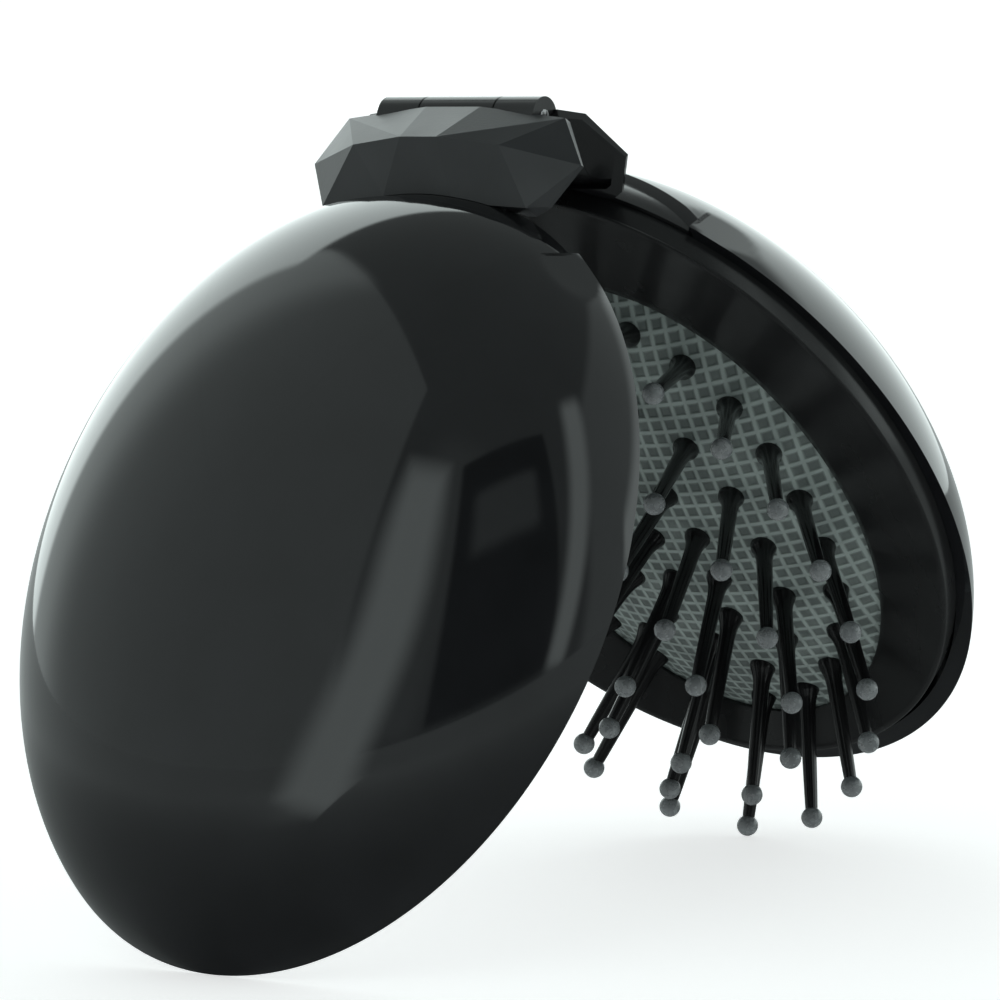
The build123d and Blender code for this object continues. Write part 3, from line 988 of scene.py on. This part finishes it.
@dataclass(frozen=True)
class CadCopies:
    """Pieces whose shape the CAD part already has, with softer edges and cleaner shading."""

    sharp: float = 24.0
    gem_corners: tuple[tuple[Point, float], ...] = (
        ((8.0, 4.8, 4.7), -0.35), ((-8.0, 4.8, 4.7), -0.35), ((2.0, 4.6, 5.5), 0.1), ((-2.0, 4.6, 5.5), 0.1),
    )

    def merged(self, node: str) -> bmesh.types.BMesh:
        """Copy a CAD node's mesh and weld its loose triangles.

        Args:
            node: The node's name.

        Returns:
            The welded mesh, in the shared frame.
        """
        bm = bmesh.new()
        bm.from_mesh(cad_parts[node].data)
        bmesh.ops.remove_doubles(bm, verts=bm.verts, dist=1e-6)
        bmesh.ops.dissolve_degenerate(bm, dist=1e-7, edges=bm.edges)
        return bm

    def recut(self, bm: bmesh.types.BMesh, matrix: Matrix) -> None:
        """Move the gem's ridge corners a little, so that its facets turn more from each other.

        Args:
            bm: The cap's mesh in the shared frame.
            matrix: Takes the half's own axes to the shared frame.
        """
        inverse = matrix.inverted()
        out = matrix.to_3x3() @ Vector((0, 0, 1))
        for place, shift in self.gem_corners:
            corner = min(bm.verts, key=lambda vert: (inverse @ vert.co - Vector(place)).length)
            broad = [face for face in corner.link_faces if face.normal.dot(out.normalized()) > 0.5]
            linked = {edge.other_vert(corner) for edge in corner.link_edges}
            for vert in {vert for face in broad for vert in face.verts} - linked - {corner}:
                bmesh.ops.connect_verts(bm, verts=[corner, vert])
            corner.co += out * shift

    def facet_block(self, half: Half, stance: Stance, finishes: Finishes) -> bpy.types.Object:
        """Make one faceted hinge cap."""
        node = f"{half.value}_hinge_block"
        bm = self.merged(node)
        bmesh.ops.dissolve_limit(
            bm, angle_limit=radians(0.4), use_dissolve_boundaries=False, verts=bm.verts, edges=bm.edges,
            delimit=set(),
        )
        self.recut(bm, stance.matrix(half))
        piece = Piece(f"{node}_cut", half.value, "hinge_cap", finishes.caps[half], (node,))
        obj = piece.make(bm, Matrix.Identity(4), 2.5)
        soften(obj, 0.12, 2, 14.0)
        return obj

    def moulded(self, node: str, body: str, slot: str, material: bpy.types.Material) -> bpy.types.Object:
        """Make a moulded piece after its CAD node."""
        piece = Piece(f"{node}_moulded", body, slot, material, (node,))
        return piece.make(self.merged(node), Matrix.Identity(4), self.sharp)

    def build(self, stance: Stance, finishes: Finishes) -> None:
        """Make every piece of this kind, and dress the CAD nodes that stay.

        Args:
            stance: How the brush stands.
            finishes: The finishes.
        """
        for half in Half:
            self.facet_block(half, stance, finishes)
            self.moulded(f"{half.value}_hinge_bracket", half.value, "collar", finishes.collar)
        self.moulded("lid_frame", "lid", "liner", finishes.liner)
        kept = {
            "hinge_pin": finishes.steel,
            "cushion_retainer": finishes.retainer,
            "mirror_pad": finishes.foam,
        }
        for node, material in kept.items():
            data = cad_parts[node].data
            data.materials.clear()
            data.materials.append(material)
            LOG.info("%s: kept as it is", node)


@dataclass(frozen=True)
class MirrorGlass:
    """The oval mirror in the lid, with a ground edge."""

    glass: Oval = Oval(21.8, 26.2, 43.9, 8.2)
    thickness: float = 1.2
    ground_edge: float = 0.5
    points: int = 160

    def build(self, stance: Stance, finishes: Finishes) -> bpy.types.Object:
        """Make the mirror.

        Args:
            stance: How the brush stands.
            finishes: The finishes.

        Returns:
            The mirror's object.
        """
        bm = bmesh.new()
        disc = bmesh.ops.create_circle(bm, cap_ends=True, segments=self.points, radius=1.0)
        bmesh.ops.scale(bm, vec=(self.glass.half_width, self.glass.half_length, 1), verts=disc["verts"])
        lifted = bmesh.ops.extrude_face_region(bm, geom=list(bm.faces))["geom"]
        top = [item for item in lifted if isinstance(item, bmesh.types.BMVert)]
        bmesh.ops.translate(bm, vec=(0, 0, -self.thickness), verts=top)
        if not any(len(face.verts) > 4 and face.calc_center_median().z > -0.01 for face in bm.faces):
            bmesh.ops.contextual_create(bm, geom=disc["verts"])
        bmesh.ops.translate(
            bm, vec=(0, self.glass.centre, self.glass.depth + self.thickness), verts=bm.verts
        )
        rim = [
            edge
            for edge in bm.edges
            if all(abs(vert.co.z - self.glass.depth) < 1e-4 for vert in edge.verts)
        ]
        bmesh.ops.bevel(
            bm, geom=rim, offset=self.ground_edge, offset_type="OFFSET", segments=1, profile=0.5,
            affect="EDGES", material=-1,
        )
        piece = Piece("mirror_glass_oval", "lid", "mirror", finishes.mirror, ("mirror_glass",))
        return piece.make(bm, stance.matrix(Half.LID), 20.0)


@dataclass(frozen=True)
class WallLight:
    """One flat soft light of the room, seen from the brush as a tilted oblong.

    It faces the brush from an azimuth (0 is -Y and 90 is +X) and an elevation in degrees. Its edges
    are given at one unit's distance, to its left and right and below and above its middle.
    """

    azimuth: float
    elevation: float
    tilt: float
    across: tuple[float, float]
    upward: tuple[float, float]
    glow: float
    soft: float = 0.04

    def axes(self) -> tuple[Vector, Vector, Vector]:
        """Give the directions towards the light, to its right and up along it."""
        turn, rise, tilt = radians(self.azimuth), radians(self.elevation), radians(self.tilt)
        ahead = Vector((sin(turn) * cos(rise), -cos(turn) * cos(rise), sin(rise)))
        level = Vector((cos(turn), sin(turn), 0))
        upright = Vector((-sin(turn) * sin(rise), cos(turn) * sin(rise), cos(rise)))
        right = level * cos(tilt) - upright * sin(tilt)
        up = upright * cos(tilt) + level * sin(tilt)
        return ahead, right, up


@dataclass(frozen=True)
class RibbonLight:
    """A long soft light that bends through a few places and fades towards its long edges."""

    name: str
    places: tuple[tuple[float, float, float, float], ...]
    glow: float
    aim: Point = (0.016, -0.04, 0.03)
    blend: float = 0.35
    end_share: float = 0.16
    steps: tuple[int, int] = (12, 64)

    def at(self, share: float) -> tuple[Vector, float]:
        """Give the middle and the width of the ribbon at a share of its length."""
        last = len(self.places) - 1
        middle, width = Vector((0, 0, 0)), 0.0
        for lag in (-0.08, -0.04, 0.0, 0.04, 0.08):
            reach = min(max(share + lag, 0.0), 1.0) * last
            index = min(int(reach), last - 1)
            low, high = Vector(self.places[index]), Vector(self.places[index + 1])
            mixed = low.lerp(high, reach - index)
            middle += mixed.to_3d() / 5
            width += mixed.w / 5
        return middle, width

    def build(self, tone: Point) -> None:
        """Hang the light.

        Args:
            tone: Its colour.
        """
        bm = bmesh.new()
        side = bm.verts.layers.float.new("side")
        bmesh.ops.create_grid(bm, x_segments=self.steps[0], y_segments=self.steps[1], size=0.5)
        for vert in bm.verts:
            across, along = vert.co.x, min(max(vert.co.y + 0.5, 0.0), 1.0)
            middle, width = self.at(along)
            ahead = self.at(min(along + 0.02, 1.0))[0] - self.at(max(along - 0.02, 0.0))[0]
            sideways = ahead.cross(middle - Vector(self.aim)).normalized()
            vert.co = middle + sideways * (across * width)
            vert[side] = max(abs(across) * 2, 1 - along / self.end_share, (along - 1) / self.end_share + 1)
        mesh = bpy.data.meshes.new(self.name)
        bm.to_mesh(mesh)
        bm.free()
        bench = NodeBench(self.name)
        edge = bench.tree.nodes.new("ShaderNodeAttribute")
        edge.attribute_name = "side"
        mask = bench.spread(edge.outputs["Fac"], 1.0, 0.0, 1.0 - 2 * self.blend, 1.0)
        shine = bench.tree.nodes.new("ShaderNodeEmission")
        shine.inputs["Color"].default_value = (*tone, 1)
        shine.inputs["Strength"].default_value = self.glow
        clear = bench.tree.nodes.new("ShaderNodeBsdfTransparent")
        mix = bench.tree.nodes.new("ShaderNodeMixShader")
        bench.link(mask, mix.inputs["Fac"])
        bench.link(clear.outputs["BSDF"], mix.inputs[1])
        bench.link(shine.outputs["Emission"], mix.inputs[2])
        bench.link(mix.outputs["Shader"], bench.output.inputs["Surface"])
        mesh.materials.append(bench.material)
        obj = bpy.data.objects.new(self.name, mesh)
        obj.visible_camera = False
        obj.visible_shadow = False
        bpy.context.scene.collection.objects.link(obj)


class RoomShader:
    """The room's light as a sum of flat soft lights over a dim base."""

    def __init__(self, base: float, tone: Point) -> None:
        """Start the room.

        Args:
            base: How bright the room is where no light is.
            tone: The colour of all its light.
        """
        self.world = bpy.data.worlds.new("studio_room")
        self.world.use_nodes = True
        self.tree = self.world.node_tree
        self.tree.nodes.clear()
        self.ray = self.tree.nodes.new("ShaderNodeTexCoord").outputs["Generated"]
        self.tone = tone
        self.level: object = base

    def math(self, kind: str, *values: object) -> bpy.types.NodeSocket:
        """Add a sum of sockets or numbers."""
        node = self.tree.nodes.new("ShaderNodeMath")
        node.operation = kind
        for socket, value in zip(node.inputs, values):
            if isinstance(value, bpy.types.NodeSocket):
                self.tree.links.new(value, socket)
            else:
                socket.default_value = value
        return node.outputs[0]

    def along(self, direction: Vector) -> bpy.types.NodeSocket:
        """Measure how far a ray points along a direction."""
        node = self.tree.nodes.new("ShaderNodeVectorMath")
        node.operation = "DOT_PRODUCT"
        node.inputs[1].default_value = tuple(direction)
        self.tree.links.new(self.ray, node.inputs[0])
        return node.outputs["Value"]

    def step(self, value: bpy.types.NodeSocket, low: float, high: float) -> bpy.types.NodeSocket:
        """Rise softly from none to one between two values."""
        node = self.tree.nodes.new("ShaderNodeMapRange")
        node.interpolation_type = "SMOOTHSTEP"
        node.inputs["From Min"].default_value = low
        node.inputs["From Max"].default_value = high
        self.tree.links.new(value, node.inputs["Value"])
        return node.outputs["Result"]

    def add(self, light: WallLight) -> None:
        """Hang one light, in front of those hung before it."""
        ahead, right, up = light.axes()
        depth = self.along(ahead)
        mask = self.step(depth, 0.0, 0.05)
        safe = self.math("MAXIMUM", depth, 0.01)
        for direction, (low, high) in ((right, light.across), (up, light.upward)):
            place = self.math("DIVIDE", self.along(direction), safe)
            inside = self.step(place, low - light.soft, low + light.soft)
            outside = self.step(place, high + light.soft, high - light.soft)
            mask = self.math("MULTIPLY", mask, self.math("MULTIPLY", inside, outside))
        change = self.math("SUBTRACT", light.glow, self.level)
        self.level = self.math("MULTIPLY_ADD", mask, change, self.level)

    def finish(self) -> None:
        """Join the lights to the world, with a plain white view behind the brush."""
        room = self.tree.nodes.new("ShaderNodeBackground")
        room.inputs["Color"].default_value = (*self.tone, 1)
        self.tree.links.new(self.level, room.inputs["Strength"])
        plain = self.tree.nodes.new("ShaderNodeBackground")
        plain.inputs["Color"].default_value = (1, 1, 1, 1)
        mix = self.tree.nodes.new("ShaderNodeMixShader")
        path = self.tree.nodes.new("ShaderNodeLightPath")
        output = self.tree.nodes.new("ShaderNodeOutputWorld")
        self.tree.links.new(path.outputs["Is Camera Ray"], mix.inputs["Fac"])
        self.tree.links.new(room.outputs["Background"], mix.inputs[1])
        self.tree.links.new(plain.outputs["Background"], mix.inputs[2])
        self.tree.links.new(mix.outputs["Shader"], output.inputs["Surface"])
        bpy.context.scene.world = self.world


@dataclass(frozen=True)
class Studio:
    """The floor, the lights and the camera at the photograph's viewing angle."""

    camera_place: Point = (331.08, -440.57704354, 93.8919718)
    yaw: float = 36.97878614
    pitch: float = 6.02711754
    roll: float = -1.98447500
    focal_pixels: float = 6216.46
    image_pixels: float = 1000.0
    sensor: float = 36.0
    floor_half: float = 6.0
    floor_glow: float = 0.6
    # Glossy reflections see a darker copy of the floor with painted shade: a dull tone, and a glow that
    # fades to none near the brush.
    reflected_floor_shaded_tone: float = 0.34
    reflected_floor_glow: float = 0.24
    painted_shade_fade: tuple[float, float] = (0.03, 0.2)
    room_base: float = 0.24
    room_tone: Point = (0.90, 1.0, 0.985)
    lights: tuple[WallLight, ...] = (
        WallLight(-40, 0, 0, (-3.0, 0.93), (-0.9, 3.5), 0.5),
        WallLight(-40, 0, 0, (-3.0, -1.2), (-0.9, 3.5), 0.85, 0.4),
        WallLight(130, 0, 0, (-0.7, 3.0), (-0.5, 1.3), 0.5, 0.1),
        WallLight(180, 0, 0, (-2.0, 2.5), (-3.0, 0.75), 1.6, 0.15),
        WallLight(-125, 0, 0, (-0.45, 0.32), (-0.4, 1.05), 2.0, 0.04),
        WallLight(27, 32, 8, (-0.15, 0.12), (-0.6, 0.5), 0.33, 0.08),
        WallLight(56, 0, 0, (-0.42, 0.42), (0.02, 1.5), 0.07, 0.03),
        WallLight(56, 0, 0, (-0.28, 0.25), (0.75, 1.15), 0.28, 0.06),
        WallLight(89, 26, 16, (-0.08, 0.08), (-0.5, 0.58), 1.2, 0.05),
    )

    ribbons: tuple[RibbonLight, ...] = (
        RibbonLight(
            "front_ribbon",
            (
                (0.010, -0.085, 0.001, 0.024), (0.020, -0.140, 0.005, 0.060), (0.034, -0.234, 0.016, 0.104),
                (0.054, -0.224, 0.068, 0.094), (0.065, -0.205, 0.113, 0.090), (0.061, -0.182, 0.153, 0.084),
                (0.055, -0.157, 0.182, 0.070), (0.049, -0.127, 0.207, 0.046),
            ),
            1.25,
        ),
    )

    def build_floor(self) -> None:
        """Lay a pale floor, and a darker copy of it with painted shade near the brush, which only glossy
        reflections see.
        """
        bm = bmesh.new()
        bmesh.ops.create_grid(bm, x_segments=1, y_segments=1, size=self.floor_half)
        mesh = bpy.data.meshes.new("floor")
        bm.to_mesh(mesh)
        bm.free()
        bench = NodeBench("pale_floor")
        bench.tint(bench.noise(12.0, 3.0), (0.78, 0.79, 0.79), (0.82, 0.83, 0.83))
        bench.set(Roughness=0.9, Emission_Color=(1, 1, 1, 1), Emission_Strength=self.floor_glow)
        bench.bump(bench.noise(300.0, 2.0), 0.02)
        # Painted shade: glossy rays see a darker floor whose glow fades to none towards the floor's middle
        # under the brush.
        away = bench.tree.nodes.new("ShaderNodeVectorMath")
        away.operation = "LENGTH"
        bench.link(bench.coords, away.inputs[0])
        glow = bench.spread(away.outputs["Value"], 0.0, self.reflected_floor_glow, *self.painted_shade_fade)
        painted_shade_floor = bench.tree.nodes.new("ShaderNodeBsdfPrincipled")
        painted_shade_floor.inputs["Base Color"].default_value = (*(self.reflected_floor_shaded_tone,) * 3, 1)
        painted_shade_floor.inputs["Roughness"].default_value = 0.9
        painted_shade_floor.inputs["Emission Color"].default_value = (*self.room_tone, 1)
        bench.link(glow, painted_shade_floor.inputs["Emission Strength"])
        seen_in_gloss = bench.tree.nodes.new("ShaderNodeLightPath").outputs["Is Glossy Ray"]
        mix = bench.tree.nodes.new("ShaderNodeMixShader")
        bench.link(seen_in_gloss, mix.inputs["Fac"])
        bench.link(bench.shader.outputs["BSDF"], mix.inputs[1])
        bench.link(painted_shade_floor.outputs["BSDF"], mix.inputs[2])
        bench.link(mix.outputs["Shader"], bench.output.inputs["Surface"])
        mesh.materials.append(bench.material)
        floor = bpy.data.objects.new("floor", mesh)
        bpy.context.scene.collection.objects.link(floor)

    def build_room(self) -> None:
        """Light the room."""
        room = RoomShader(self.room_base, self.room_tone)
        for light in self.lights:
            room.add(light)
        room.finish()

    def build_camera(self) -> None:
        """Set up the camera."""
        camera = bpy.data.cameras.new("camera")
        camera.sensor_width = self.sensor
        camera.lens = self.focal_pixels / self.image_pixels * self.sensor
        camera.clip_start = 0.05
        camera.clip_end = 50.0
        yaw, pitch, roll = radians(self.yaw), radians(self.pitch), radians(self.roll)
        ahead = Vector((-sin(yaw) * cos(pitch), cos(yaw) * cos(pitch), -sin(pitch)))
        level = Vector((cos(yaw), sin(yaw), 0))
        upright = level.cross(ahead)
        right = level * cos(roll) + upright * sin(roll)
        up = upright * cos(roll) - level * sin(roll)
        turn = Matrix((right, up, -ahead)).transposed().to_4x4()
        obj = bpy.data.objects.new("camera", camera)
        obj.matrix_world = Matrix.Translation(Vector(self.camera_place) * MM) @ turn
        bpy.context.scene.collection.objects.link(obj)
        bpy.context.scene.camera = obj

    def build(self) -> None:
        """Build the whole studio."""
        self.build_floor()
        self.build_room()
        self.build_camera()
        for ribbon in self.ribbons:
            ribbon.build(self.room_tone)
        bpy.context.scene.view_settings.view_transform = "Standard"


def main() -> None:
    """Build the brush and its studio."""
    logging.basicConfig(level=logging.INFO, format="%(message)s")
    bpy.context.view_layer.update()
    stance = Stance()
    finishes = Finishes(stance)
    Studio().build()
    for half in Half:
        ShellSkin(half).build(stance, finishes)
    CushionFrame().build(stance, finishes)
    field_of_pins = PinField()
    field_of_pins.build_cushion(stance, finishes)
    PinSet(field_of_pins).build(stance, finishes)
    CadCopies().build(stance, finishes)
    MirrorGlass().build(stance, finishes)


if __name__ == "__main__":
    main()
